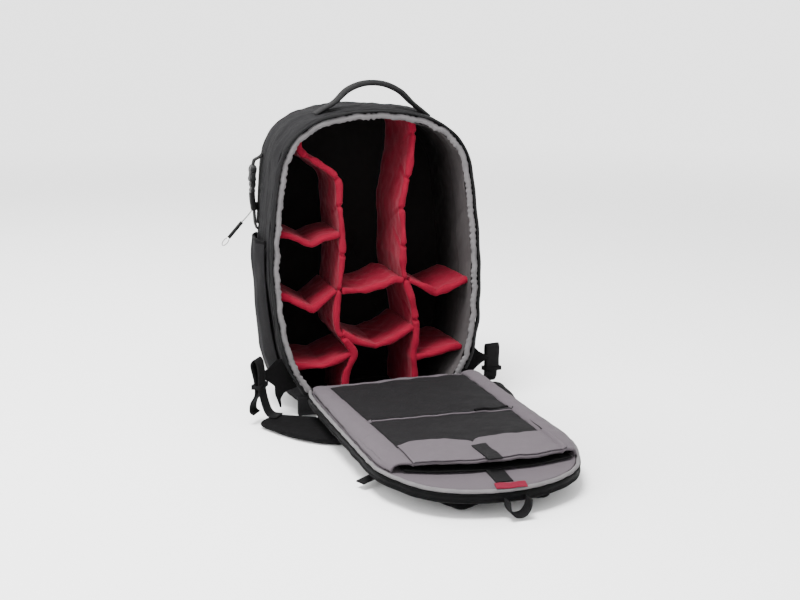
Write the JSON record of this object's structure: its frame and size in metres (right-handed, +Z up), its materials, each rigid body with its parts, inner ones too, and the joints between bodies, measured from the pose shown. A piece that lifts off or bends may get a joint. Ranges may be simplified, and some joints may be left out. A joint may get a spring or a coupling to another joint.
{
  "type": "camera backpack",
  "caption": "Camera backpack standing on its base with its zipped back panel folded down, showing padded red dividers and the panel's mesh pockets and laptop sleeve.",
  "frame": {"origin": "centre of the flat base of the main body, with the pocket behind it counted, on the plane that it stands on", "axes": "+Z up, +X to the right as seen from the open side, -Y towards the opened panel, which lies along -Y"},
  "size_m": [0.463, 0.7142, 0.5204],
  "materials": {
    "shell_fabric": "matte woven nylon, near black",
    "pocket_fabric": "matte woven nylon, near black",
    "strap_fabric": "matte fabric over foam, black",
    "lining_fabric": "smooth lining cloth, mid grey",
    "flap_lining_fabric": "smooth lining cloth, mid grey",
    "binding_tape": "folded binding tape, grey",
    "divider_fabric": "brushed loop fabric over foam, deep red",
    "mesh_fabric": "stretch mesh, black",
    "pad_mesh": "spacer mesh over foam, black",
    "webbing": "ribbed webbing, dark grey",
    "handle_fabric": "woven nylon folded over webbing, dark grey",
    "zip_tape": "coated zip tape and coil, black",
    "buckle_plastic": "moulded plastic, black",
    "pull_cord": "thin braided cord, light grey",
    "label_fabric": "plain woven label, red"
  },
  "bodies": {
    "root": {"shell": "shell_fabric", "lining": "lining_fabric", "rim_binding": "binding_tape", "body_zip": "zip_tape", "top_handle": "handle_fabric", "front_pocket": "pocket_fabric", "front_pocket_zip": "zip_tape", "side_pocket": "pocket_fabric", "side_strap_top": "webbing", "side_buckle_socket": "buckle_plastic", "side_buckle_plug": "buckle_plastic", "side_strap_foot": "webbing", "side_zip_slider": "buckle_plastic", "pull_cord": "pull_cord", "pull_grip": "buckle_plastic", "pull_loop": "pull_cord", "divider_long_left": "divider_fabric", "divider_long_right": "divider_fabric", "divider_left_upper": "divider_fabric", "divider_left_middle": "divider_fabric", "divider_left_lower": "divider_fabric", "divider_middle_upper": "divider_fabric", "divider_middle_lower": "divider_fabric", "divider_right_upper": "divider_fabric", "divider_right_lower": "divider_fabric", "flap_panel": "shell_fabric", "flap_lining": "flap_lining_fabric", "flap_binding": "binding_tape", "flap_zip": "zip_tape", "laptop_sleeve": "flap_lining_fabric", "mesh_pocket_near": "mesh_fabric", "mesh_pocket_far": "mesh_fabric", "mesh_pocket_zip": "zip_tape", "mesh_zip_pull": "zip_tape", "organizer_pocket": "flap_lining_fabric", "sleeve_patch": "strap_fabric", "closure_strap": "webbing", "blank_label": "label_fabric", "back_pad": "pad_mesh", "lumbar_pad": "pad_mesh", "shoulder_strap_left": "strap_fabric", "shoulder_strap_right": "strap_fabric", "shoulder_webbing_left": "webbing", "shoulder_webbing_right": "webbing", "haul_loop": "webbing", "hip_wing_left": "strap_fabric", "hip_wing_right": "strap_fabric", "hip_webbing_left": "webbing", "hip_webbing_right": "webbing", "hip_keeper_left": "webbing", "hip_keeper_right": "webbing", "belt_web_left": "strap_fabric", "belt_web_right": "strap_fabric", "hinge_cloth": "flap_lining_fabric"}
  },
  "joints": []
}
